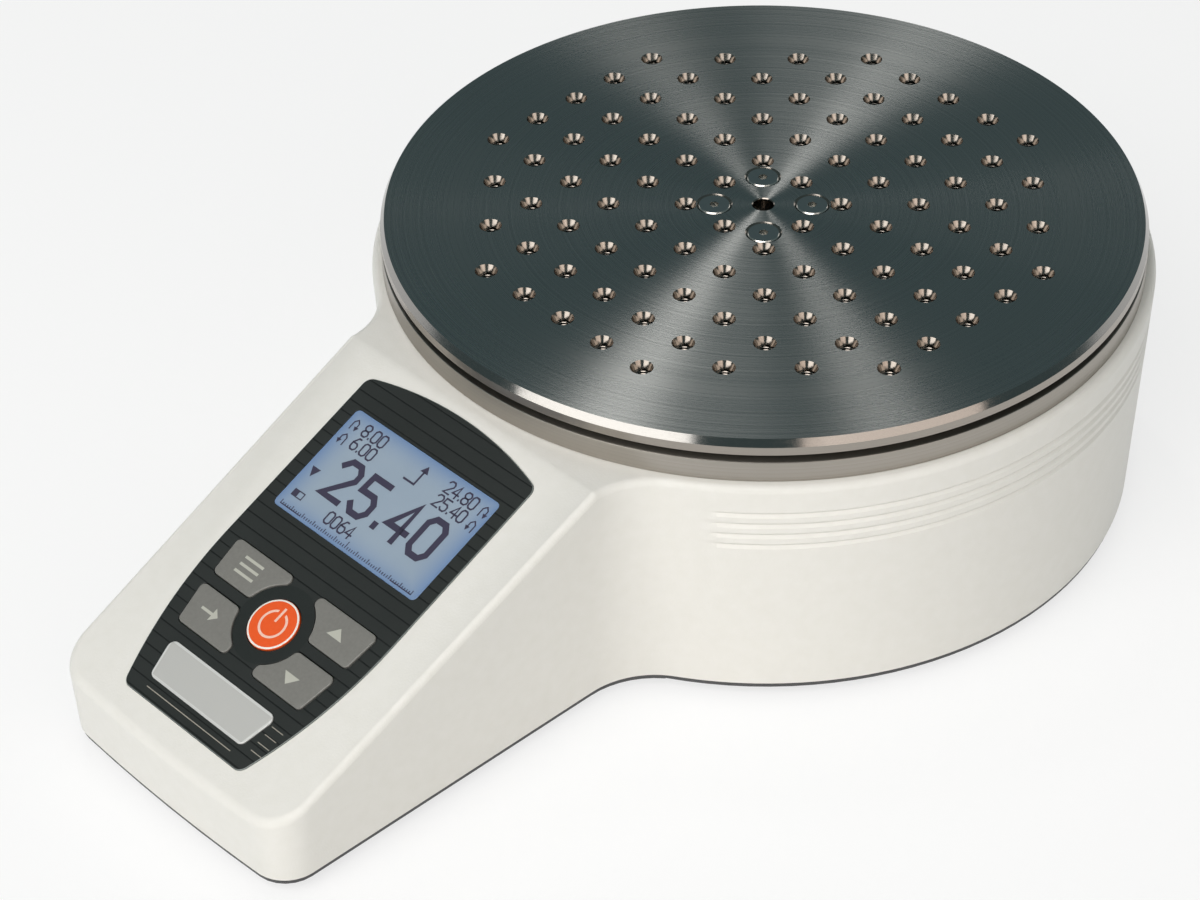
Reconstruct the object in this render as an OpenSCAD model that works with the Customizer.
// Closure torque tester: a round turntable plate with a grid of threaded holes turns a bearing
// spindle, whose lever arm loads a bending beam in the drum of the housing, and a sloped arm
// in front carries the display and five keys. All sizes are millimetres.

/* [Turntable plate] */
// Radius of the turntable plate
plate_r = 105; // [96:1:108]
// Height of the plate's outer rim
plate_rim_t = 4.7; // [3.5:0.1:6]
// Full thickness of the plate at its middle
plate_t = 6.35; // [5.8:0.05:8]
// Width of the thinner band round the plate's underside
plate_band_w = 7; // [5:0.5:12]
// Width of the polished bevel round the plate
plate_bevel_w = 1.1; // [0.5:0.1:2]
// Height of the polished bevel round the plate
plate_bevel_h = 2.1; // [1:0.1:3]
// Distance between neighbouring threaded holes
hole_pitch = 15; // [13:0.5:18]
// Width of the plain band round the field of threaded holes
plain_band_w = 23; // [15:1:40]
// Radius of a threaded hole at the tips of its thread
thread_r = 2.1; // [1.6:0.05:2.6]
// Radius of the hole in the centre of the plate
centre_hole_r = 2.9; // [2:0.1:4]
// Circle through the four countersunk plate screws
plate_screw_pcd = 26.8; // [25:0.2:28]

/* [Guard ring] */
// Height of the fixed ring under the plate
ring_t = 6.25; // [5:0.25:8]
// Width of the fixed ring
ring_w = 43; // [38:1:46]
// Height of the shadow gap between the plate's rim and the ring
shadow_gap = 2.15; // [1.9:0.05:3]

/* [Housing] */
// How far the drum's top edge stands out past the plate
ledge_w = 2.9; // [2.5:0.1:5]
// Height of the housing shell
shell_h = 68.8; // [66:0.2:76]
// How much wider the shell is at its top than at its bottom, on each side
draft_growth = 3.2; // [1:0.1:5]
// Thickness of the side walls
wall_t = 3.5; // [2.5:0.1:4.5]
// Upright thickness of the deck and of the sloped wall
deck_t = 4; // [3.6:0.1:5]
// Radius on the housing's upper edges
edge_r = 2; // [1:0.1:3]
// Height of the rubber feet
foot_h = 3.5; // [2.5:0.1:6]
// Thickness of the sheet that closes the bottom
cover_t = 1.6; // [1.2:0.1:2.5]

/* [Display arm] */
// Half the width of the arm at its bottom
arm_half_w = 45; // [43:0.5:50]
// Distance from the torque axis to the middle of the arm's front face
arm_reach = 215.6; // [212:0.5:230]
// How far the front face bulges
arm_bow = 1; // [0.5:0.1:3]
// Radius of the arm's front corners
arm_corner_r = 10; // [6:0.5:14]
// How far the flat deck runs on in front of the drum before it slopes down
deck_run = 0.63; // [0.5:0.01:3]
// Height of the housing at the arm's front, above the housing's bottom
nose_h = 19.33; // [17:0.1:24]

/* [Grip grooves] */
// How many grooves run round the drum
groove_count = 4; // [1:1:5]
// Distance between grooves
groove_pitch = 3.55; // [2.5:0.05:4.5]
// Height of one groove
groove_w = 2; // [0.6:0.1:2.4]
// Depth of one groove
groove_depth = 0.6; // [0.3:0.1:1]
// Distance from the deck down to the first groove
groove_drop = 9; // [6:0.5:14]

/* [Spindle and bearings] */
// Outer radius of each ball bearing
bearing_r = 23.5; // [22:0.5:25]
// Bore radius of each ball bearing
bearing_bore_r = 12.5; // [11.5:0.5:13.5]
// Width of each ball bearing
bearing_w = 12; // [10:0.5:13]
// Distance between the two bearings
bearing_gap = 6; // [4:0.5:8]
// Number of balls in each bearing
ball_count = 10; // [8:1:11]
// Clear distance from the load beam's post to the drum's wall
post_wall_gap = 7.2; // [6.5:0.1:10]
// How far the plate turns each way before the lever meets a stop
twist_deg = 2; // [1:0.1:2.2]

/* [Display and keys] */
// Half the width of the display overlay
overlay_half_w = 32.8; // [31:0.1:34]
// Distance down the slope from its crease to the overlay's top
overlay_top = 2.3; // [1.5:0.1:4]
// Distance from the overlay's foot to the arm's front edge, down the slope
overlay_foot_gap = 7.55; // [6:0.1:12]
// Width of the display window
lcd_w = 56.2; // [50:0.2:58]
// Radius of the round power key with its pale ring
power_r = 7.4; // [6:0.1:8]
// Travel of each key
key_travel = 0.45; // [0.2:0.05:0.6]

/* [Hidden] */

$fn = 96;
overrun = 1;
slip = 0.02;
run_gap = 0.1;
seat_gap = 0.3;

// Heights from the ground up
cover_z = foot_h;
shell_z = cover_z + cover_t;
land_z = shell_z + shell_h;
ring_top = land_z + ring_t;
rim_z = ring_top + shadow_gap;
plate_top = rim_z + plate_rim_t;
plate_bottom = plate_top - plate_t;

// Plan of the arm, worked out so that each hollow corner is tangent to the drum and the arm
drum_top_r = plate_r + ledge_w;
drum_r = drum_top_r - draft_growth;
draft = draft_growth / shell_h;
crease = drum_top_r + deck_run;
arm_fillet_r = (pow(crease, 2) + pow(arm_half_w, 2) - pow(drum_r, 2)) / (2 * (drum_r - arm_half_w));
fillet_x = arm_half_w + arm_fillet_r;
meet_deg = atan2(crease, fillet_x);
corner_x = arm_half_w - arm_corner_r;
bow_r = (pow(corner_x, 2) + pow(arm_bow, 2)) / (2 * arm_bow);
bow_y = arm_reach - bow_r;
bow_half_deg = asin(corner_x / (bow_r - arm_corner_r));
corner_y = bow_y + (bow_r - arm_corner_r) * cos(bow_half_deg);
seam_tuck = 2;
inner_share = 0.8;
fillet_steps = 8;
corner_steps = 6;
bow_steps = 6;
edge_steps = 4;

// The grip grooves run round the back and the sides of the drum and stop before the arm
groove_start_deg = -51.5;
groove_sweep_deg = 283;

// The torque axis stands behind the middle of the whole outline
nose_z = shell_z + nose_h;
slope_deg = atan2(land_z - nose_z, arm_reach - crease);
slope_len = (arm_reach - crease) / cos(slope_deg);
nose_reach = arm_reach + draft * (nose_z - edge_r - shell_z);
torque_y = (nose_reach - drum_top_r - draft * -edge_r) / 2;

// Countersunk and cap screws: thread radius, head radius, head height and socket sizes
plate_screw_r = 2.5;
plate_screw_head_r = 4.5;
plate_screw_len = 10;
plate_socket_share = 0.3;
plate_screw_count = 4;
plate_screw_deg = 45;
small_screw_r = 1.5;
small_head_r = 2.8;
small_head_h = 1.8;
medium_screw_r = 2;
medium_head_r = 3.6;
medium_head_h = 2.4;
cap_screw_r = 3;
cap_head_r = 5;
cap_head_h = 5;
socket_share = 0.38;
socket_depth_share = 0.6;
flat_head_share = 0.8;

// A threaded hole widens by this share of its radius at its mouth
thread_mouth_share = 0.24;

// Stack on the spindle, from the deck down
flange_t = 4.5;
flange_r = 50;
barrel_r = 30;
clip_t = 1.5;
clip_reach = 1;
clip_w = 4;
upper_top = land_z;
upper_bottom = upper_top - bearing_w;
lower_top = upper_bottom - bearing_gap;
lower_bottom = lower_top - bearing_w;
barrel_lip = 1.5;
barrel_bottom = lower_bottom - clip_t - barrel_lip;
race_t = 3.3;
ball_share = 0.3;
ball_r = (bearing_r - bearing_bore_r) * ball_share;
ball_circle_r = (bearing_r + bearing_bore_r) / 2;
shaft_slip = 0.05;
spindle_flange_r = 18.5;
spindle_collar_r = 15;
lever_boss_h = 3.9;
lever_h = 13;
lever_top = lower_bottom - lever_boss_h;
lever_bottom = lever_top - lever_h;
lever_half_w = 7;
lever_tip = 7;
hub_r = 20;
hub_slit = 1.6;
lug_len = 12;
lug_half_w = 9;
pin_r = 4;
post_half_w = 11;
post_depth = 18;
post_y = drum_r - wall_t - post_wall_gap - post_depth;
lever_share = 3 / 7;
lever_len = hub_r + (post_y - hub_r) * lever_share;
stud_r = 9;
washer_t = 1.5;
washer_r = 17;
nut_t = 8;
nut_r = 17;
stud_end = 2;

// Load beam, its post and the overload stops
beam_drop = 3;
beam_h = 14;
beam_half_w = 6;
beam_head_half = 10;
beam_span = post_y - lever_len;
beam_head_share = 5 / 8;
beam_head_len = beam_span * beam_head_share;
beam_top = lever_bottom - beam_drop;
beam_bottom = beam_top - beam_h;
beam_hole_share = 1 / 8;
beam_hole_r = beam_span * beam_hole_share;
beam_hole_gap_share = 9 / 32;
beam_hole_gap = beam_span * beam_hole_gap_share;
post_screw_inset = 4;
gauge_len = 8;
gauge_h = 5;
gauge_t = 0.2;
yoke_t = 6;
yoke_h = 9;
yoke_drop = 2;
yoke_arm_t = 8;
yoke_inner = 17;
stop_share = 2 / 3;
stop_y = hub_r + (lever_len - hub_r) * stop_share;
yoke_end_w = 6;
yoke_reach = post_y - stop_y + yoke_end_w;
stop_clear = 0.1;
stop_gap = stop_y * tan(twist_deg) + lever_half_w * (1 / cos(twist_deg) - 1) + stop_clear;
stop_screw_r = 2.5;
stop_screw_len = 26;
stop_nut_r = 4.6;
stop_nut_t = 4;

// Screw circles in the deck and bosses under it
ring_inner_r = plate_r - ring_w;
ring_screw_inset = 18;
ring_screw_circle = ring_inner_r + ring_screw_inset;
ring_screw_count = 6;
ring_screw_depth = 4;
flange_screw_circle = 40;
flange_screw_count = 6;
flange_screw_deg = 30;
flange_screw_len = 8;
boss_r = 4;
boss_h = 25;
front_boss_h = 15;
side_boss_inset = 33;
boss_wall_overlap = 2;
cover_inset = 0.5;
cover_screw_len = 10;
cover_boss_degs = [30, 90, 150, 205, 335];
foot_r = 9;
foot_side_inset = 15;
foot_inset = 26.7;
foot_circle = drum_r - foot_inset;
foot_degs = [45, 135, 225, 315];
front_foot_x = arm_half_w - foot_side_inset;
front_foot_inset = 22;
front_foot_y = arm_reach - front_foot_inset;
foot_recess = 1.2;
foot_chamfer = 0.8;
foot_screw_len = 6;

// Places down the slope, measured from the crease, and the panel's own sizes. A share says
// how far down the overlay a place lies.
function down(share) = overlay_top + overlay_len * share;
slope_wall = deck_t * cos(slope_deg);
overlay_recess = 1.2;
overlay_proud = 0.3;
overlay_crown_r = 112;
overlay_foot_half = 23.5;
overlay_len = slope_len - overlay_top - overlay_foot_gap;
overlay_bend_share = 0.555;
overlay_bend = overlay_len * overlay_bend_share;
overlay_corner_r = 3;
lcd_shares = [0.124, 0.4367];
lcd_top = down(lcd_shares[0]);
lcd_h = overlay_len * (lcd_shares[1] - lcd_shares[0]);
lcd_margin = 2;
lcd_window_drop = 0.1;
lcd_corner_r = 1.6;
power_share = 0.6763;
power_v = down(power_share);
power_moat_r = 11.7;
key_gap = 0.25;
key_proud = 0.35;
key_corner_r = 1.8;
key_inner = 5.2;
key_outer = 27.8;
key_taper = 3.3;
upper_key_shares = [0.5542, 0.6596];
lower_key_shares = [0.692, 0.803];
upper_key_top = down(upper_key_shares[0]);
upper_key_bottom = down(upper_key_shares[1]);
lower_key_top = down(lower_key_shares[0]);
lower_key_bottom = down(lower_key_shares[1]);
window_margin = 1.5;
label_shares = [0.8465, 0.9492];
label_top = down(label_shares[0]);
label_bottom = down(label_shares[1]);
label_half_top = 21.3;
label_half_bottom = 18.5;
label_t = 0.4;
label_corner_r = 2;
board_t = 1.6;
board_side_lap = 1.2;
board_half_w = overlay_half_w + board_side_lap;
board_shares = [0.0712, 0.8668];
board_top = down(board_shares[0]);
board_bottom = down(board_shares[1]);
board_screw_inset = 2.6;
board_screw_u = board_half_w - board_screw_inset;
board_screw_us = [-board_screw_u, board_screw_u];
board_screw_shares = [0.099, 0.4875, 0.839];
board_screw_vs = [for (share = board_screw_shares) down(share)];
switch_half = 3;
switch_base_share = 0.6;
plunger_r = 1.7;
plunger_gap = key_travel + run_gap / 2;
key_middle = (key_inner + key_outer) / 2;
key_switch_us = [0, -key_middle, -key_middle, key_middle, key_middle];
upper_key_v = (upper_key_top + upper_key_bottom) / 2;
lower_key_v = (lower_key_top + lower_key_bottom) / 2;
key_switch_vs = [power_v, upper_key_v, lower_key_v, upper_key_v, lower_key_v];

// Electronics in the arm
cell_r = 7.1;
cell_half_len = 25;
cell_count = 3;
cell_pitch = 15;
cell_clear = 1;
holder_t = 1.5;
holder_wall_h = 11;
holder_front = arm_reach - wall_t - 2 * boss_r - cell_clear;
holder_depth = cell_pitch * (cell_count - 1) + 2 * (cell_r + holder_t);
cell_front_y = holder_front - holder_t - cell_r;
board_side_inset = 15;
main_board_half_w = arm_half_w - board_side_inset;
main_board_gap = 1.9;
main_board_depth = 40;
main_board_front = holder_front - holder_depth - main_board_gap;
main_board_back = main_board_front - main_board_depth;
standoff_h = 7;
standoff_r = 3;
standoff_hex_share = 0.9;
chip_h = 2.2;
chip_share = 0.3;
chip_place_share = 0.6;
header_h = 5;
header_w = 18;
header_d = 5;
ribbon_w = 16;
ribbon_t = 0.6;
ribbon_inset = 6;
ribbon_y = main_board_front - ribbon_inset;
cable_r = 1.5;
cable_sides = 8;
cable_route = [[7.2, 58, 17], [10, 57.5, 16.5], [16, 56, 14], [26, 50, 9], [37, 39, 6.8],
    [45, 21, 6.8], [48, 0, 6.8], [47, -22, 6.8], [43, -44, 6.8], [37, -66, 6.8], [30, -84, 7],
    [25, -96, 9], [22, -104, 13], [20.5, -109, 15.6], [20, -113.7, 16.2]];

// Ports on the left side of the arm
port_from_crease = 29;
port_y = crease + port_from_crease;
port_z = 25;
port_half_w = 28;
port_half_h = 13;
port_sink = 1;
port_floor = arm_half_w - port_sink;
port_panel_t = 1.4;
port_pad_t = 5;
port_pad_margin = 4;
port_lip = 5;
port_corner_r = 3;
port_screw_inset = 2.6;
port_screw_r = 1.2;
port_screw_head_r = 2.1;
port_screw_head_h = 1;
port_screw_len = 5;
usb_v = 15;
usb_half_w = 6;
usb_half_h = 5.5;
usb_len = 16;
usb_wall = 1.8;
usb_cavity = 10;
usb_nose = 0.6;
io_v = -3;
io_half_w = 9.5;
io_half_h = 4.2;
io_nose = 4.5;
io_body = 9;
io_lean = 1.2;
io_pin_r = 0.5;
io_pin_pitch = 2.29;
io_row_pitch = 1.98;
io_row_count = 3;
io_column_count = 5;
io_pin_depth = 2;
jack_v = -18;
jack_r = 4.6;
jack_bore_r = 2.8;
jack_pin_r = 1;
jack_len = 12;
jack_depth = 9;
jack_nose = 0.8;

// Moves its children from the torque axis to the frame of the whole object
module on_axis() {
    translate([0, torque_y, 0]) children();
}

// Puts its children on the sloped face: X across, -Y down the slope, Z out of the face
module on_slope() {
    on_axis() translate([0, -crease, land_z]) rotate([slope_deg, 0, 0]) children();
}

// Copies its children round the torque axis, at a radius and a list of angles
module around(radius, degs) {
    for (deg = degs) rotate([0, 0, deg]) translate([radius, 0, 0]) children();
}

function even_degs(count, start) = [for (i = [0 : count - 1]) start + 360 * i / count];
function ring_degs() = even_degs(ring_screw_count, 0);
function flange_degs() = even_degs(flange_screw_count, flange_screw_deg);

// A tube with its bottom at a height
module tube(outer, inner, z, h) {
    difference() {
        translate([0, 0, z]) cylinder(r = outer, h = h);
        translate([0, 0, z - overrun]) cylinder(r = inner, h = h + 2 * overrun);
    }
}

// Pan screw with a hexagon socket: the head stands on z = 0 and the shank points down
module cap_screw(r, len, head_r, head_h) {
    difference() {
        union() {
            cylinder(r = head_r, h = head_h);
            translate([0, 0, -len]) cylinder(r = r, h = len + head_h / 2);
        }
        translate([0, 0, head_h * (1 - socket_depth_share)])
            cylinder(r = head_r * socket_share, h = head_h, $fn = 6);
    }
}

// Countersunk screw: its flat head is flush with z = 0 and the shank points down
module flat_screw(r, len, head_r, share = socket_share) {
    head_h = (head_r - r) * flat_head_share;
    difference() {
        union() {
            translate([0, 0, -head_h]) cylinder(r1 = r, r2 = head_r, h = head_h);
            translate([0, 0, -len]) cylinder(r = r, h = len - head_h / 2);
        }
        translate([0, 0, -head_h * socket_depth_share])
            cylinder(r = head_r * share, h = head_h, $fn = 6);
    }
}

// The hole that takes a countersunk screw
module flat_hole(r, len, head_r) {
    head_h = (head_r - r) * flat_head_share;
    translate([0, 0, -head_h]) cylinder(r1 = r, r2 = head_r, h = head_h);
    cylinder(r = head_r, h = overrun);
    translate([0, 0, -len - overrun]) cylinder(r = r, h = len + overrun);
}

// Rows that describe the arm's plan: centre, radius, growth of the radius and direction
function arc_rows(c, r, grow, a0, a1, first, last, steps) =
    [for (i = [first : last]) [c, r, grow, a0 + (a1 - a0) * i / steps]];
function arm_rows() = concat(
    [[[0, 0], drum_r * inner_share, 0, 180 + meet_deg]],
    [[[0, 0], drum_r - seam_tuck, 1, 180 + meet_deg]],
    arc_rows([-fillet_x, -crease], arm_fillet_r, -1, meet_deg, 0, 1, fillet_steps, fillet_steps),
    arc_rows([-corner_x, -corner_y], arm_corner_r, 1, 180, 270 - bow_half_deg, 0, corner_steps,
        corner_steps),
    arc_rows([0, -bow_y], bow_r, 1, 270 - bow_half_deg, 270 + bow_half_deg, 1, bow_steps - 1,
        bow_steps),
    arc_rows([corner_x, -corner_y], arm_corner_r, 1, 270 + bow_half_deg, 360, 0, corner_steps,
        corner_steps),
    arc_rows([fillet_x, -crease], arm_fillet_r, -1, 180, 180 - meet_deg, 0, fillet_steps - 1,
        fillet_steps),
    [[[0, 0], drum_r - seam_tuck, 1, -meet_deg]],
    [[[0, 0], drum_r * inner_share, 0, -meet_deg]]);
function row_point(row, d) = row[0] + (row[1] + row[2] * d) * [cos(row[3]), sin(row[3])];
function roof_z(y) = y < -crease ? land_z + (y + crease) * tan(slope_deg) : land_z;

// A point at a drop below the roof, drawn in by the edge's rounding and set out by an offset
function roof_point(row, drop, inset, offset_d) =
    let (guess = row_point(row, offset_d),
        d = draft * (roof_z(guess[1]) - edge_r - shell_z) - inset + offset_d,
        p = row_point(row, d))
    [p[0], p[1], roof_z(p[1]) - drop];

function ring_quads(n, rings) = [for (k = [0 : rings - 2]) for (i = [0 : n - 1])
    for (half = [0, 1])
        let (j = (i + 1) % n)
        half == 0 ? [k * n + i, (k + 1) * n + i, (k + 1) * n + j]
            : [k * n + i, (k + 1) * n + j, k * n + j]];

// The arm as one loft from its bottom ring to its roof, with an optional rounded upper edge
module arm_loft(bottom_z, offset_d, drop, steps) {
    rows = arm_rows();
    n = len(rows);
    left = 1 + fillet_steps;
    right = n - 2 - fillet_steps;
    floor_ring = [for (row = rows)
        let (p = row_point(row, offset_d + draft * (bottom_z - shell_z))) [p[0], p[1], bottom_z]];
    roof_rings = steps == 0 ? [for (row = rows) roof_point(row, drop, 0, offset_d)]
        : [for (k = [0 : steps]) for (row = rows)
            roof_point(row, edge_r * (1 - sin(90 * k / steps)),
                edge_r * (1 - cos(90 * k / steps)), offset_d)];
    rings = steps + 2;
    top = (rings - 1) * n;
    polyhedron(points = concat(floor_ring, roof_rings), convexity = 6, faces = concat(
        [[for (i = [0 : n - 1]) i]],
        ring_quads(n, rings),
        [[for (i = [right : -1 : left]) top + i]],
        [concat([for (i = [left : -1 : 0]) top + i], [for (i = [n - 1 : -1 : right]) top + i])]));
}

// Half-plane outline of the drum with its draft and its rounded upper edge
module drum_form() {
    side_r = drum_top_r - draft * edge_r;
    rotate_extrude() polygon(concat([[0, shell_z], [drum_r, shell_z]],
        [for (k = [0 : edge_steps]) [side_r - edge_r * (1 - cos(90 * k / edge_steps)),
            land_z - edge_r * (1 - sin(90 * k / edge_steps))]],
        [[0, land_z]]));
}

module drum_grooves() {
    for (i = [0 : groove_count - 1]) {
        z = land_z - groove_drop - groove_pitch * i;
        r = drum_top_r - draft * (land_z - z);
        rotate([0, 0, groove_start_deg]) rotate_extrude(angle = groove_sweep_deg)
            polygon([[r + overrun, z + groove_w / 2 + overrun * groove_w / (2 * groove_depth)],
                [r - groove_depth, z],
                [r + overrun, z - groove_w / 2 - overrun * groove_w / (2 * groove_depth)]]);
    }
}

module drum_cavity() {
    top = land_z - deck_t;
    h = top - shell_z + overrun;
    translate([0, 0, shell_z - overrun])
        cylinder(r1 = drum_r - wall_t - draft * overrun,
            r2 = drum_r - wall_t + draft * (top - shell_z), h = h);
}

// Places of the cover screws, each in a boss that grows into the wall
function boss_circle() = drum_r - wall_t - boss_wall_overlap;
function arm_boss_places() = [
    [arm_half_w - wall_t - boss_wall_overlap, -arm_reach + side_boss_inset],
    [corner_x - boss_r / 2, -arm_reach + wall_t + boss_r]];

// Row 0 stands at the sides behind the battery, row 1 in the front corners
module at_arm_bosses(row) {
    place = arm_boss_places()[row];
    for (side = [-1, 1]) translate([side * place[0], place[1], 0]) children();
}

module at_bosses() {
    around(boss_circle(), cover_boss_degs) children();
    at_arm_bosses(0) children();
    at_arm_bosses(1) children();
}

// Each boss stops just short of the cover, so that the cover seats on the walls
module boss_pad(h) {
    translate([0, 0, shell_z + seat_gap]) cylinder(r = boss_r, h = h - seat_gap);
}

module at_feet() {
    around(foot_circle, foot_degs) children();
    for (side = [-1, 1]) translate([side * front_foot_x, -front_foot_y, 0]) children();
}

// A rounded block whose thickness runs along X, for the port plate and its pocket
module port_block(half_w, half_h, x0, x1, corner) {
    translate([x0, -port_y, port_z]) rotate([0, 90, 0]) union() {
        translate([-half_h + corner, -half_w, 0]) cube([2 * (half_h - corner), 2 * half_w, x1 - x0]);
        translate([-half_h, -half_w + corner, 0]) cube([2 * half_h, 2 * (half_w - corner), x1 - x0]);
        for (sx = [-1, 1]) for (sy = [-1, 1])
            translate([sx * (half_h - corner), sy * (half_w - corner), 0])
                cylinder(r = corner, h = x1 - x0);
    }
}

module at_port_screws() {
    for (sy = [-1, 1]) for (sz = [-1, 1])
        translate([-port_floor - port_panel_t, -port_y + sy * (port_half_w - port_screw_inset),
            port_z + sz * (port_half_h - port_screw_inset)])
            rotate([0, -90, 0]) children();
}

module deck_bores() {
    translate([0, 0, land_z - deck_t - overrun])
        cylinder(r = barrel_r + run_gap, h = deck_t + 2 * overrun);
    around(ring_screw_circle, ring_degs())
        translate([0, 0, land_z - deck_t - overrun])
            cylinder(r = medium_screw_r + slip, h = deck_t + 2 * overrun);
    around(flange_screw_circle, flange_degs())
        translate([0, 0, land_z - deck_t - overrun])
            cylinder(r = medium_screw_r + slip, h = deck_t + 2 * overrun);
    for (y = post_screw_places()) translate([0, y, land_z])
        flat_hole(cap_screw_r + slip, deck_t, cap_head_r + slip);
}

function post_screw_places() = [post_y + post_screw_inset, post_y + post_depth - post_screw_inset];

module housing() {
    pad_x = -port_floor + port_pad_t;
    color("whitesmoke") on_axis() difference() {
        union() {
            difference() {
                union() {
                    drum_form();
                    arm_loft(shell_z, 0, 0, edge_steps);
                }
                drum_cavity();
                arm_loft(shell_z - overrun, -wall_t, deck_t, 0);
            }
            around(boss_circle(), cover_boss_degs) boss_pad(boss_h);
            at_arm_bosses(0) boss_pad(boss_h);
            at_arm_bosses(1) boss_pad(front_boss_h);
            port_block(port_half_w + port_pad_margin, port_half_h + port_pad_margin,
                -arm_half_w + wall_t / 4, pad_x, port_corner_r);
        }
        deck_bores();
        drum_grooves();
        at_bosses() translate([0, 0, shell_z - overrun])
            cylinder(r = small_screw_r + slip, h = cover_screw_len + overrun);
        port_block(port_half_w + seat_gap, port_half_h + seat_gap,
            -arm_half_w - draft_growth - overrun, -port_floor, port_corner_r);
        port_block(port_half_w - port_lip, port_half_h - port_lip,
            -arm_half_w, pad_x + overrun, port_corner_r);
        at_port_screws() translate([0, 0, -port_screw_len])
            cylinder(r = port_screw_r + slip, h = port_screw_len);
        translate([0, -crease, land_z]) rotate([slope_deg, 0, 0]) {
            slope_openings();
        }
    }
}

// Recess and windows in the sloped wall
module slope_openings() {
    translate([0, 0, -overlay_recess]) linear_extrude(overlay_recess + overrun)
        overlay_outline(run_gap);
    translate([-lcd_w / 2 - lcd_margin, -lcd_top - lcd_h - lcd_margin, -2 * slope_wall])
        cube([lcd_w + 2 * lcd_margin, lcd_h + 2 * lcd_margin, 2 * slope_wall]);
    translate([-key_outer - window_margin, -lower_key_bottom - window_margin, -2 * slope_wall])
        cube([2 * (key_outer + window_margin),
            lower_key_bottom - upper_key_top + 2 * window_margin, 2 * slope_wall]);
    for (u = board_screw_us) for (v = board_screw_vs)
        translate([u, -v, -slope_wall - overrun])
            cylinder(r = port_screw_r + slip, h = slope_wall - overlay_recess);
}

module bottom_cover() {
    rows = arm_rows();
    outline = [for (row = rows) row_point(row, -cover_inset)];
    color("dimgray") on_axis() difference() {
        union() {
            translate([0, 0, cover_z]) cylinder(r = drum_r - cover_inset, h = cover_t);
            translate([0, 0, cover_z]) linear_extrude(cover_t) polygon(outline);
        }
        at_bosses() translate([0, 0, cover_z]) rotate([180, 0, 0])
            flat_hole(small_screw_r + slip, cover_t, small_head_r + slip);
        at_feet() translate([0, 0, cover_z - overrun])
            cylinder(r = small_screw_r + slip, h = cover_t + 2 * overrun);
        for (x = [-1, 1]) for (y = main_board_ys())
            translate([x * (main_board_half_w - standoff_r), y, cover_z - overrun])
                cylinder(r = port_screw_r + slip, h = cover_t + 2 * overrun);
    }
}

module cover_screws() {
    color("silver") on_axis() at_bosses() translate([0, 0, cover_z]) rotate([180, 0, 0])
        flat_screw(small_screw_r, cover_screw_len, small_head_r);
}

module rubber_feet() {
    color("black") on_axis() at_feet() difference() {
        rotate_extrude() polygon([[0, 0], [foot_r - foot_chamfer, 0], [foot_r, foot_chamfer],
            [foot_r, foot_h], [0, foot_h]]);
        translate([0, 0, -overrun]) cylinder(r = small_head_r + run_gap, h = foot_recess
            + small_head_h + overrun);
        translate([0, 0, -overrun]) cylinder(r = small_screw_r + slip, h = foot_h + 2 * overrun);
    }
}

module foot_screws() {
    color("silver") on_axis() at_feet()
        translate([0, 0, foot_recess + small_head_h]) rotate([180, 0, 0])
            cap_screw(small_screw_r, foot_screw_len, small_head_r, small_head_h);
}

module guard_ring() {
    bevel = plate_bevel_w / 2;
    color("darkkhaki") on_axis() difference() {
        rotate_extrude() polygon([[ring_inner_r, land_z], [plate_r, land_z],
            [plate_r, ring_top - bevel], [plate_r - bevel, ring_top], [ring_inner_r, ring_top]]);
        around(ring_screw_circle, ring_degs())
            translate([0, 0, land_z - overrun])
                cylinder(r = medium_screw_r + slip, h = ring_screw_depth + overrun);
    }
}

module ring_screws() {
    color("silver") on_axis() around(ring_screw_circle, ring_degs())
        translate([0, 0, land_z - deck_t]) rotate([180, 0, 0])
            cap_screw(medium_screw_r, deck_t + ring_screw_depth - run_gap, medium_head_r,
                medium_head_h);
}

// Flanged barrel that holds both bearings against an inner shoulder
module bearing_housing() {
    shoulder_r = bearing_r - race_t;
    color("lightsteelblue") on_axis() difference() {
        union() {
            translate([0, 0, land_z]) cylinder(r = flange_r, h = flange_t);
            translate([0, 0, barrel_bottom]) cylinder(r = barrel_r, h = land_z - barrel_bottom);
        }
        translate([0, 0, barrel_bottom - overrun])
            cylinder(r = shoulder_r, h = land_z + flange_t - barrel_bottom + 2 * overrun);
        translate([0, 0, upper_bottom]) cylinder(r = bearing_r + slip,
            h = land_z + flange_t - upper_bottom + overrun);
        translate([0, 0, barrel_bottom - overrun])
            cylinder(r = bearing_r + slip, h = lower_top - barrel_bottom + overrun);
        for (z = clip_places()) translate([0, 0, z])
            cylinder(r = bearing_r + clip_reach + slip, h = clip_t);
        around(flange_screw_circle, flange_degs()) translate([0, 0, land_z + flange_t])
            flat_hole(medium_screw_r + slip, flange_t, medium_head_r + slip);
    }
}

function clip_places() = [upper_top, lower_bottom - clip_t];

module bearing_housing_screws() {
    color("silver") on_axis() around(flange_screw_circle, flange_degs())
        translate([0, 0, land_z + flange_t])
            flat_screw(medium_screw_r, flange_screw_len, medium_head_r);
}

module retaining_rings() {
    color("gray") on_axis() for (z = clip_places()) difference() {
        tube(bearing_r + clip_reach, bearing_r + clip_reach - clip_w, z, clip_t);
        translate([-clip_w, -bearing_r - 2 * clip_reach, z - overrun])
            cube([2 * clip_w, bearing_r, clip_t + 2 * overrun]);
    }
}

// One race of a bearing, with its groove for the balls
module race(outer, inner, z) {
    difference() {
        tube(outer, inner, z, bearing_w);
        translate([0, 0, z + bearing_w / 2]) rotate_extrude()
            translate([ball_circle_r, 0]) circle(r = ball_r + run_gap);
    }
}

module ball_set(z) {
    around(ball_circle_r, even_degs(ball_count, 0))
        translate([0, 0, z + bearing_w / 2]) sphere(r = ball_r);
}

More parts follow.
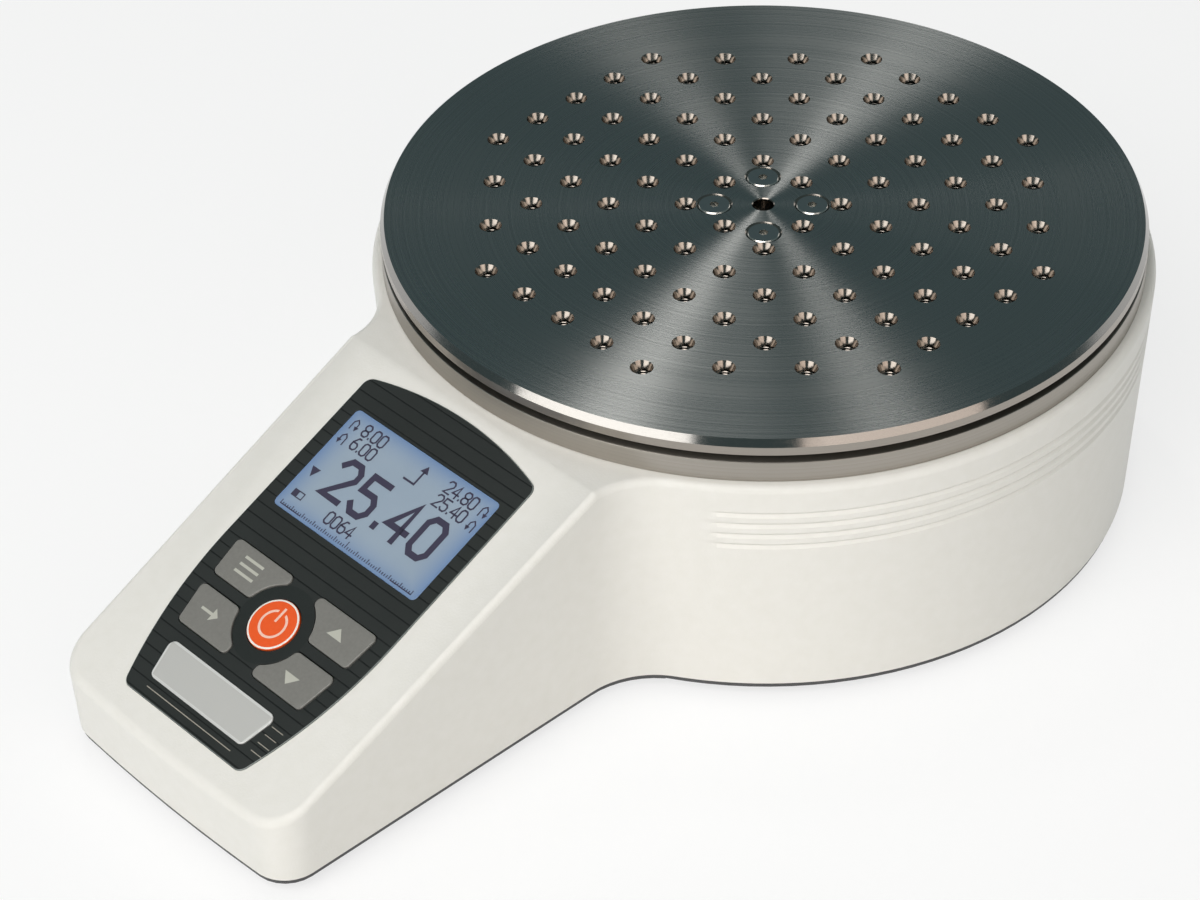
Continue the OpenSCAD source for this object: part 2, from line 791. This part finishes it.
module upper_bearing_outer() {
    color("slategray") on_axis() race(bearing_r, bearing_r - race_t, upper_bottom);
}

module upper_bearing_inner() {
    color("slategray") on_axis() race(bearing_bore_r + race_t, bearing_bore_r, upper_bottom);
}

module upper_bearing_balls() {
    color("silver") on_axis() ball_set(upper_bottom);
}

module lower_bearing_outer() {
    color("slategray") on_axis() race(bearing_r, bearing_r - race_t, lower_bottom);
}

module lower_bearing_inner() {
    color("slategray") on_axis() race(bearing_bore_r + race_t, bearing_bore_r, lower_bottom);
}

module lower_bearing_balls() {
    color("silver") on_axis() ball_set(lower_bottom);
}

// Places of the four screws that hold the plate on the spindle
module at_plate_screws() {
    around(plate_screw_pcd / 2, even_degs(plate_screw_count, plate_screw_deg)) children();
}

module plate() {
    field_r = plate_r - plain_band_w;
    reach = floor(field_r / hole_pitch);
    mouth = thread_r * (1 + thread_mouth_share);
    color("lightslategray") on_axis() difference() {
        rotate_extrude() polygon([[0, plate_bottom], [plate_r - plate_band_w, plate_bottom],
            [plate_r - plate_band_w, rim_z], [plate_r, rim_z], [plate_r, plate_top - plate_bevel_h],
            [plate_r - plate_bevel_w, plate_top], [0, plate_top]]);
        for (i = [-reach : reach]) for (j = [-reach : reach])
            if (norm([i, j]) > 0 && norm([i, j]) * hole_pitch <= field_r)
                translate([i * hole_pitch, j * hole_pitch, 0]) {
                    translate([0, 0, plate_bottom - overrun])
                        cylinder(r = thread_r, h = plate_t + 2 * overrun);
                    translate([0, 0, plate_top - mouth + thread_r])
                        cylinder(r1 = thread_r, r2 = mouth, h = mouth - thread_r);
                }
        translate([0, 0, plate_bottom - overrun])
            cylinder(r = centre_hole_r, h = plate_t + 2 * overrun);
        at_plate_screws() translate([0, 0, plate_top])
            flat_hole(plate_screw_r + slip, plate_t, plate_screw_head_r + slip);
    }
}

module plate_screws() {
    color("silver") on_axis() at_plate_screws() translate([0, 0, plate_top])
        flat_screw(plate_screw_r, plate_screw_len, plate_screw_head_r, plate_socket_share);
}

// Flanged spindle that carries the plate in the two bearings
module spindle() {
    collar_top = upper_top + clip_t;
    shaft_r = bearing_bore_r - shaft_slip;
    nut_bottom = lever_bottom - washer_t - nut_t;
    color("gainsboro") on_axis() difference() {
        union() {
            translate([0, 0, collar_top])
                cylinder(r = spindle_flange_r, h = plate_bottom - collar_top);
            translate([0, 0, upper_top]) cylinder(r = spindle_collar_r, h = clip_t);
            translate([0, 0, lever_bottom]) cylinder(r = shaft_r, h = upper_top - lever_bottom);
            translate([0, 0, nut_bottom - stud_end])
                cylinder(r = stud_r, h = lever_bottom - nut_bottom + stud_end);
        }
        at_plate_screws() translate([0, 0, plate_top - plate_screw_len - run_gap])
            cylinder(r = plate_screw_r + slip, h = plate_screw_len + overrun);
    }
}

module bearing_spacer() {
    color("silver") on_axis()
        tube(bearing_bore_r + race_t, bearing_bore_r, lower_top, bearing_gap);
}

// Lever clamped on the spindle, with a drive pin that reaches into the load beam
module lever_arm() {
    color("lightgray") on_axis() difference() {
        union() {
            translate([0, 0, lever_bottom]) cylinder(r = hub_r, h = lever_h);
            translate([0, 0, lever_top]) cylinder(r = bearing_bore_r + race_t, h = lever_boss_h);
            translate([-lever_half_w, 0, lever_bottom])
                cube([2 * lever_half_w, lever_len, lever_h]);
            translate([0, lever_len, lever_bottom]) cylinder(r = lever_tip, h = lever_h);
            translate([-lug_half_w, -hub_r - lug_len + lever_tip, lever_bottom])
                cube([2 * lug_half_w, lug_len, lever_h]);
        }
        translate([0, 0, lever_bottom - overrun])
            cylinder(r = bearing_bore_r, h = lever_h + lever_boss_h + 2 * overrun);
        translate([-hub_slit / 2, -2 * hub_r, lever_bottom - overrun])
            cube([hub_slit, 2 * hub_r, lever_h + lever_boss_h + 2 * overrun]);
        translate([0, lever_len, lever_bottom - overrun])
            cylinder(r = pin_r + slip, h = lever_h + 2 * overrun);
        at_lug_screw() {
            translate([0, 0, -2 * lug_half_w - overrun])
                cylinder(r = medium_screw_r + slip, h = 2 * lug_half_w + 2 * overrun);
            translate([0, 0, -medium_head_h]) cylinder(r = medium_head_r + run_gap, h = lug_half_w);
        }
    }
}

module at_lug_screw() {
    translate([lug_half_w, -hub_r - lug_len / 2 + lever_tip / 2, (lever_bottom + lever_top) / 2])
        rotate([0, 90, 0]) children();
}

module lever_clamp_screw() {
    color("dimgray") on_axis() at_lug_screw() translate([0, 0, -medium_head_h])
        cap_screw(medium_screw_r, lug_half_w + lever_half_w - medium_head_h, medium_head_r,
            medium_head_h);
}

module lever_pin() {
    color("silver") on_axis() translate([0, lever_len, beam_bottom + beam_drop])
        cylinder(r = pin_r, h = lever_top - beam_bottom - beam_drop);
}

module spindle_washer() {
    color("silver") on_axis()
        tube(washer_r, stud_r + run_gap, lever_bottom - washer_t, washer_t);
}

module spindle_nut() {
    color("gray") on_axis() difference() {
        translate([0, 0, lever_bottom - washer_t - nut_t]) cylinder(r = nut_r, h = nut_t, $fn = 6);
        translate([0, 0, lever_bottom - washer_t - nut_t - overrun])
            cylinder(r = stud_r + slip, h = nut_t + 2 * overrun);
    }
}

module sensor_post() {
    color("lightsteelblue") on_axis() difference() {
        translate([-post_half_w, post_y, beam_top])
            cube([2 * post_half_w, post_depth, land_z - deck_t - beam_top]);
        for (y = post_screw_places()) {
            translate([0, y, land_z - deck_t - post_screw_depth()])
                cylinder(r = cap_screw_r + slip, h = post_screw_depth() + overrun);
            translate([0, y, beam_top - overrun])
                cylinder(r = cap_screw_r + slip, h = post_screw_depth() + overrun);
        }
        at_yoke_screws() translate([0, 0, -3 * yoke_t - overrun])
            cylinder(r = medium_screw_r + slip, h = 3 * yoke_t + 2 * overrun);
    }
}

function post_screw_depth() = 3 * deck_t;

module post_screws() {
    color("dimgray") on_axis() for (y = post_screw_places()) translate([0, y, land_z])
        flat_screw(cap_screw_r, deck_t + post_screw_depth() - overrun, cap_head_r);
}

// Bending beam: its slotted head takes the drive pin and its foot is bolted under the post
module load_cell() {
    head_y = lever_len - beam_head_len / 2;
    mid_y = (lever_len + post_y) / 2 + beam_head_len / 8;
    color("gainsboro") on_axis() difference() {
        union() {
            translate([-beam_head_half, head_y, beam_bottom])
                cube([2 * beam_head_half, beam_head_len, beam_h]);
            translate([-beam_half_w, head_y, beam_bottom])
                cube([2 * beam_half_w, post_y + post_depth - head_y, beam_h]);
            translate([-post_half_w, post_y, beam_bottom])
                cube([2 * post_half_w, post_depth, beam_h]);
        }
        translate([0, lever_len, beam_bottom - overrun])
            cylinder(r = pin_r + pin_clear(), h = beam_h + 2 * overrun);
        for (side = [-1, 1]) translate([0, mid_y + side * beam_hole_gap / 2, beam_bottom - overrun])
            cylinder(r = beam_hole_r, h = beam_h + 2 * overrun);
        translate([-beam_hole_r / 4, mid_y - beam_hole_gap / 2, beam_bottom - overrun])
            cube([beam_hole_r / 2, beam_hole_gap, beam_h + 2 * overrun]);
        for (y = post_screw_places()) translate([0, y, beam_bottom]) {
            translate([0, 0, -overrun]) cylinder(r = cap_screw_r + slip, h = beam_h + 2 * overrun);
            translate([0, 0, -overrun])
                cylinder(r = cap_head_r + run_gap, h = cap_head_h + overrun);
        }
    }
}

// Room for the drive pin's swing, because the beam itself stays straight in this model
function pin_clear() = lever_len * tan(twist_deg) + stop_clear;

module load_cell_screws() {
    color("dimgray") on_axis() for (y = post_screw_places())
        translate([0, y, beam_bottom + cap_head_h]) rotate([180, 0, 0])
            cap_screw(cap_screw_r, beam_h - cap_head_h + post_screw_depth() - overrun,
                cap_head_r, cap_head_h);
}

module strain_gauges() {
    mid_y = (lever_len + post_y) / 2 + beam_head_len / 8;
    color("orange") on_axis() for (sx = [-1, 1]) for (sy = [-1, 1])
        translate([sx * (beam_half_w + gauge_t / 2) - gauge_t / 2,
            mid_y + sy * beam_hole_gap / 2 - gauge_len / 2 * (1 - run_gap / gauge_len),
            (beam_bottom + beam_top - gauge_h) / 2])
            cube([gauge_t, gauge_len - run_gap, gauge_h]);
}

// Yoke on the post with one set screw on each side of the lever
module stop_yoke() {
    z = lever_bottom + yoke_drop;
    outer = yoke_inner + yoke_arm_t;
    color("lightsteelblue") on_axis() difference() {
        union() {
            translate([-outer, post_y - yoke_t, z]) cube([2 * outer, yoke_t, yoke_h]);
            for (side = [-1, 1])
                translate([side * (yoke_inner + yoke_arm_t / 2) - yoke_arm_t / 2,
                    post_y - yoke_reach, z])
                    cube([yoke_arm_t, yoke_reach, yoke_h]);
        }
        at_yoke_screws() translate([0, 0, -yoke_t - overrun])
            cylinder(r = medium_screw_r + slip, h = yoke_t + 2 * overrun);
        at_stops() translate([0, 0, -yoke_inner * 2])
            cylinder(r = stop_screw_r + slip, h = yoke_inner * 4);
    }
}

module at_yoke_screws() {
    z = lever_bottom + yoke_drop + yoke_h / 2;
    for (side = [-1, 1]) translate([side * post_half_w / 2, post_y - yoke_t, z])
        rotate([90, 0, 0]) children();
}

module yoke_screws() {
    color("dimgray") on_axis() at_yoke_screws()
        cap_screw(medium_screw_r, yoke_t * 3 - overrun, medium_head_r, medium_head_h);
}

// Each stop screw lies across the lever, its tip towards the lever's side
module at_stops() {
    z = lever_bottom + yoke_drop + yoke_h / 2;
    for (side = [0, 1]) mirror([side, 0, 0])
        translate([lever_half_w + stop_gap, stop_y, z]) rotate([0, 90, 0]) children();
}

module stop_screws() {
    color("dimgray") on_axis() at_stops() difference() {
        cylinder(r = stop_screw_r, h = stop_screw_len);
        translate([0, 0, stop_screw_len - stop_screw_r])
            cylinder(r = stop_screw_r / 2, h = stop_screw_len, $fn = 6);
    }
}

module stop_nuts() {
    start = yoke_inner + yoke_arm_t - lever_half_w - stop_gap;
    color("silver") on_axis() at_stops() difference() {
        translate([0, 0, start]) cylinder(r = stop_nut_r, h = stop_nut_t, $fn = 6);
        translate([0, 0, start - overrun])
            cylinder(r = stop_screw_r + slip, h = stop_nut_t + 2 * overrun);
    }
}

// Rounds the corners of a flat outline
module soften(r) {
    offset(r = r, $fn = 32) offset(delta = -r) children();
}

// The overlay: a crowned top, straight sides and flanks that curve in to a narrow foot
module overlay_outline(grow) {
    crown_y = -overlay_top - overlay_crown_r;
    foot_y = -overlay_top - overlay_len;
    flank = overlay_len - overlay_bend;
    flank_in = overlay_half_w - overlay_foot_half;
    flank_r = (pow(flank, 2) + pow(flank_in, 2)) / (2 * flank_in);
    offset(delta = grow) soften(overlay_corner_r) intersection() {
        translate([-overlay_half_w, foot_y]) square([2 * overlay_half_w, overlay_len]);
        translate([0, crown_y]) circle(r = overlay_crown_r, $fn = 180);
        union() {
            translate([-overlay_half_w, -overlay_top - overlay_bend])
                square([2 * overlay_half_w, overlay_bend]);
            intersection_for(side = [-1, 1])
                translate([side * (overlay_half_w - flank_r), -overlay_top - overlay_bend])
                    circle(r = flank_r, $fn = 180);
        }
    }
}

// One of the four shaped keys: a tapered block with a hollow side round the power key
module key_outline(side, top, bottom, taper0, taper1) {
    soften(key_corner_r) difference() {
        polygon([[side * key_inner, -top], [side * (key_outer - taper0), -top],
            [side * (key_outer - taper1), -bottom], [side * key_inner, -bottom]]);
        translate([0, -power_v]) circle(r = power_moat_r, $fn = 64);
    }
}

module menu_outline() {
    key_outline(-1, upper_key_top, upper_key_bottom, 0, key_taper / 3);
}

module data_outline() {
    key_outline(-1, lower_key_top, lower_key_bottom, key_taper / 3, key_taper);
}

module zero_outline() {
    key_outline(1, upper_key_top, upper_key_bottom, 0, key_taper / 3);
}

module mode_outline() {
    key_outline(1, lower_key_top, lower_key_bottom, key_taper / 3, key_taper);
}

module display_overlay() {
    color("darkslategray") on_slope() difference() {
        translate([0, 0, -overlay_recess]) linear_extrude(overlay_recess + overlay_proud)
            overlay_outline(0);
        translate([0, 0, -overlay_recess - overrun])
            lcd_block(0, overlay_recess + overlay_proud + 2 * overrun);
        translate([0, -power_v, -overlay_recess - overrun])
            cylinder(r = power_r + key_gap, h = overlay_recess + overlay_proud + 2 * overrun);
        translate([0, 0, -overlay_recess - overrun])
            linear_extrude(overlay_recess + overlay_proud + 2 * overrun) offset(delta = key_gap) {
                menu_outline();
                data_outline();
                zero_outline();
                mode_outline();
            }
    }
}

// Block with rounded corners in the place of the display window, drawn in on each side
module lcd_block(inset, h) {
    half = lcd_w / 2 - inset;
    top = -lcd_top - inset;
    bottom = -lcd_top - lcd_h + inset;
    corner = lcd_corner_r - inset;
    translate([-half + corner, bottom, 0]) cube([2 * (half - corner), top - bottom, h]);
    translate([-half, bottom + corner, 0]) cube([2 * half, top - bottom - 2 * corner, h]);
    for (side = [-1, 1]) for (y = [bottom + corner, top - corner])
        translate([side * (half - corner), y, 0]) cylinder(r = corner, h = h);
}

module lcd_window() {
    color("lightblue") on_slope() translate([0, 0, -overlay_recess])
        lcd_block(2 * slip, overlay_recess + overlay_proud - lcd_window_drop);
}

module lcd_panel() {
    color("cadetblue") on_slope()
        translate([-lcd_w / 2 - lcd_margin + seat_gap, -lcd_top - lcd_h - lcd_margin + seat_gap,
            -slope_wall])
            cube([lcd_w + 2 * (lcd_margin - seat_gap), lcd_h + 2 * (lcd_margin - seat_gap),
                slope_wall - overlay_recess]);
}

module control_board() {
    color("darkgreen") on_slope() difference() {
        union() {
            translate([-board_half_w, -board_bottom, -slope_wall - board_t])
                cube([2 * board_half_w, board_bottom - board_top, board_t]);
            translate([-header_w / 2, -ribbon_v() - header_d / 2, -slope_wall - board_t - header_h])
                cube([header_w, header_d, header_h + board_t / 2]);
        }
        for (u = board_screw_us) for (v = board_screw_vs)
            translate([u, -v, -slope_wall - board_t - overrun])
                cylinder(r = port_screw_r + slip, h = board_t + 2 * overrun);
    }
}

function ribbon_v() = (ribbon_y - crease) / cos(slope_deg);

module key_switches() {
    h = slope_wall - overlay_recess - plunger_gap;
    color("dimgray") on_slope() for (i = [0 : len(key_switch_us) - 1])
        translate([key_switch_us[i], -key_switch_vs[i], -slope_wall]) {
            translate([-switch_half, -switch_half, 0])
                cube([2 * switch_half, 2 * switch_half, h * switch_base_share]);
            cylinder(r = plunger_r, h = h);
        }
}

module board_screws() {
    color("silver") on_slope() for (u = board_screw_us) for (v = board_screw_vs)
        translate([u, -v, -slope_wall - board_t]) rotate([180, 0, 0])
            cap_screw(port_screw_r, board_t + slope_wall - overlay_recess - overrun,
                port_screw_head_r, port_screw_head_h);
}

module label_plate() {
    color("silver") on_slope() translate([0, 0, overlay_proud]) linear_extrude(label_t)
        soften(label_corner_r) polygon([[-label_half_top, -label_top],
            [label_half_top, -label_top], [label_half_bottom, -label_bottom],
            [-label_half_bottom, -label_bottom]]);
}

// Every key cap reaches from the overlay's back to a little above its face
module key_body() {
    translate([0, 0, -overlay_recess])
        linear_extrude(overlay_recess + overlay_proud + key_proud) children();
}

module key_power() {
    color("orangered") on_slope() translate([0, -power_v, -overlay_recess])
        cylinder(r = power_r, h = overlay_recess + overlay_proud + key_proud);
}

module key_menu() {
    color("gray") on_slope() key_body() menu_outline();
}

module key_data() {
    color("gray") on_slope() key_body() data_outline();
}

module key_zero() {
    color("gray") on_slope() key_body() zero_outline();
}

module key_mode() {
    color("gray") on_slope() key_body() mode_outline();
}

function main_board_ys() = [-main_board_front + standoff_r, -main_board_back - standoff_r];

module main_board() {
    z = shell_z + standoff_h;
    chip_half_w = main_board_half_w * chip_share;
    color("darkgreen") on_axis() difference() {
        union() {
            translate([-main_board_half_w, -main_board_front, z])
                cube([2 * main_board_half_w, main_board_depth, board_t]);
            translate([-chip_half_w, -main_board_back - main_board_depth * chip_place_share, z])
                cube([2 * chip_half_w, main_board_depth * chip_share, board_t + chip_h]);
            translate([-header_w / 2, -ribbon_y - header_d / 2, z])
                cube([header_w, header_d, board_t + header_h]);
            translate([cable_end()[0] - header_d, -main_board_back - header_d, z])
                cube([2 * header_d, header_d, board_t + header_h]);
        }
        for (x = [-1, 1]) for (y = main_board_ys())
            translate([x * (main_board_half_w - standoff_r), y, z - overrun])
                cylinder(r = port_screw_r + slip, h = board_t + 2 * overrun);
    }
}

module board_standoffs() {
    top = shell_z + standoff_h;
    color("goldenrod") on_axis() for (x = [-1, 1]) for (y = main_board_ys())
        translate([x * (main_board_half_w - standoff_r), y, 0]) {
            translate([0, 0, shell_z])
                cylinder(r = standoff_r * standoff_hex_share, h = standoff_h, $fn = 6);
            translate([0, 0, cover_z]) cylinder(r = port_screw_r, h = top + board_t - cover_z);
            translate([0, 0, top + board_t])
                cylinder(r = port_screw_head_r, h = port_screw_head_h);
        }
}

module battery_holder() {
    half = cell_half_len + holder_t + run_gap;
    color("black") on_axis() difference() {
        translate([-half, -holder_front, shell_z]) cube([2 * half, holder_depth, holder_wall_h]);
        translate([-half + holder_t, -holder_front + holder_t, shell_z + holder_t])
            cube([2 * (half - holder_t), holder_depth - 2 * holder_t, holder_wall_h]);
    }
}

module battery_cells() {
    color("cornflowerblue") on_axis() for (i = [0 : cell_count - 1])
        translate([-cell_half_len, -cell_front_y + cell_pitch * i, shell_z + holder_t + cell_r])
            rotate([0, 90, 0]) union() {
                cylinder(r = cell_r, h = 2 * cell_half_len - holder_t);
                cylinder(r = cell_r / 3, h = 2 * cell_half_len);
            }
}

// Flat ribbon between the two boards, a swept S in the plane of the arm
module display_ribbon() {
    low_z = shell_z + standoff_h + board_t + header_h;
    reach = slope_wall + board_t + header_h + 2 * run_gap;
    high_z = roof_z(-ribbon_y) - reach * cos(slope_deg);
    steps = 12;
    bulge = header_d * 2;
    line = [for (i = [0 : steps]) let (t = i / steps)
        [-ribbon_y + bulge * sin(180 * t) * (1 - t) + reach * sin(slope_deg) * t,
            low_z + (high_z - low_z) * t]];
    half = ribbon_t / 2;
    color("lightgray") on_axis() translate([-ribbon_w / 2, 0, 0]) rotate([90, 0, 90])
        linear_extrude(ribbon_w) polygon(concat([for (p = line) p + [half, 0]],
            [for (i = [steps : -1 : 0]) line[i] - [half, 0]]));
}

function cable_end() = cable_route[len(cable_route) - 1];

// Sweeps a round tube along a list of points, with each ring square to the route
module sweep_tube(path, r, sides) {
    last = len(path) - 1;
    rings = [for (k = [0 : last])
        let (ahead = path[min(k + 1, last)] - path[max(k - 1, 0)],
            t = ahead / norm(ahead),
            side = cross(t, [0, 0, 1]) / norm(cross(t, [0, 0, 1])),
            up = cross(side, t))
        for (j = [0 : sides - 1])
            path[k] + r * (cos(360 * j / sides) * side + sin(360 * j / sides) * up)];
    n = sides;
    polyhedron(points = rings, convexity = 8, faces = concat(
        [[for (j = [0 : n - 1]) j]],
        [for (k = [0 : last - 1]) for (j = [0 : n - 1]) for (half = [0, 1])
            let (i = (j + 1) % n)
            half == 0 ? [k * n + j, (k + 1) * n + j, (k + 1) * n + i]
                : [k * n + j, (k + 1) * n + i, k * n + i]],
        [[for (j = [n - 1 : -1 : 0]) last * n + j]]));
}

module sensor_cable() {
    color("gray") on_axis() sweep_tube(cable_route, cable_r, cable_sides);
}

module port_panel() {
    color("dimgray") on_axis() difference() {
        port_block(port_half_w, port_half_h, -port_floor - port_panel_t, -port_floor,
            port_corner_r);
        translate([-port_floor - port_panel_t - overrun, -port_y, port_z]) {
            translate([0, usb_v - usb_half_w, -usb_half_h])
                cube([port_panel_t + 2 * overrun, 2 * usb_half_w, 2 * usb_half_h]);
            translate([0, io_v, 0]) d_shape(port_panel_t + 2 * overrun, 0);
            translate([0, jack_v, 0]) rotate([0, 90, 0])
                cylinder(r = jack_r + slip, h = port_panel_t + 2 * overrun);
        }
        at_port_screws() translate([0, 0, -port_panel_t - overrun])
            cylinder(r = port_screw_r + slip, h = port_panel_t + 2 * overrun);
    }
}

module port_screws() {
    color("silver") on_axis() at_port_screws()
        cap_screw(port_screw_r, port_screw_len - overrun / 2, port_screw_head_r,
            port_screw_head_h);
}

// Hollow metal shell of the data socket
module usb_socket() {
    color("silver") on_axis() translate([-port_floor - port_panel_t - usb_nose,
        -port_y + usb_v, port_z]) difference() {
        translate([0, -usb_half_w + slip, -usb_half_h + slip])
            cube([usb_len, 2 * (usb_half_w - slip), 2 * (usb_half_h - slip)]);
        translate([-overrun, -usb_half_w + usb_wall, -usb_half_h + usb_wall])
            cube([usb_cavity + overrun, 2 * (usb_half_w - usb_wall), 2 * (usb_half_h - usb_wall)]);
    }
}

// D-shaped block along X: two long sides that lean together
module d_shape(len, inset) {
    w = io_half_w - inset;
    h = io_half_h - inset;
    rotate([90, 0, 90]) linear_extrude(len)
        polygon([[-w, h], [-w + io_lean, -h], [w - io_lean, -h], [w, h]]);
}

module io_connector() {
    nose = -port_floor - port_panel_t - io_nose;
    color("silver") on_axis() difference() {
        union() {
            translate([nose, -port_y + io_v, port_z])
                d_shape(io_nose + port_panel_t + io_body, slip);
            translate([-port_floor, -port_y + io_v - io_half_w, port_z - io_half_h - io_lean])
                cube([io_body, 2 * io_half_w, 2 * (io_half_h + io_lean)]);
        }
        for (row = [0 : io_row_count - 1]) for (i = [0 : io_column_count - 1])
            let (shift = (row % 2 == 0 ? 1 : -1) * io_pin_pitch / 4)
            translate([nose - overrun,
                -port_y + io_v + (i - (io_column_count - 1) / 2) * io_pin_pitch + shift,
                port_z + (row - (io_row_count - 1) / 2) * io_row_pitch])
                rotate([0, 90, 0]) cylinder(r = io_pin_r, h = io_pin_depth + overrun);
    }
}

module power_jack() {
    nose = -port_floor - port_panel_t - jack_nose;
    color("black") on_axis() translate([nose, -port_y + jack_v, port_z]) rotate([0, 90, 0])
        difference() {
            cylinder(r = jack_r, h = jack_len);
            difference() {
                translate([0, 0, -overrun]) cylinder(r = jack_bore_r, h = jack_depth + overrun);
                translate([0, 0, overrun]) cylinder(r = jack_pin_r, h = jack_depth);
            }
        }
}

housing();
bottom_cover();
cover_screws();
rubber_feet();
foot_screws();
guard_ring();
ring_screws();
bearing_housing();
bearing_housing_screws();
upper_bearing_outer();
upper_bearing_inner();
upper_bearing_balls();
lower_bearing_outer();
lower_bearing_inner();
lower_bearing_balls();
retaining_rings();
plate();
plate_screws();
spindle();
bearing_spacer();
lever_arm();
lever_clamp_screw();
lever_pin();
spindle_washer();
spindle_nut();
sensor_post();
post_screws();
load_cell();
load_cell_screws();
strain_gauges();
stop_yoke();
yoke_screws();
stop_screws();
stop_nuts();
display_overlay();
lcd_window();
lcd_panel();
control_board();
key_switches();
board_screws();
label_plate();
key_power();
key_menu();
key_data();
key_zero();
key_mode();
main_board();
board_standoffs();
battery_holder();
battery_cells();
display_ribbon();
sensor_cable();
port_panel();
port_screws();
usb_socket();
io_connector();
power_jack();
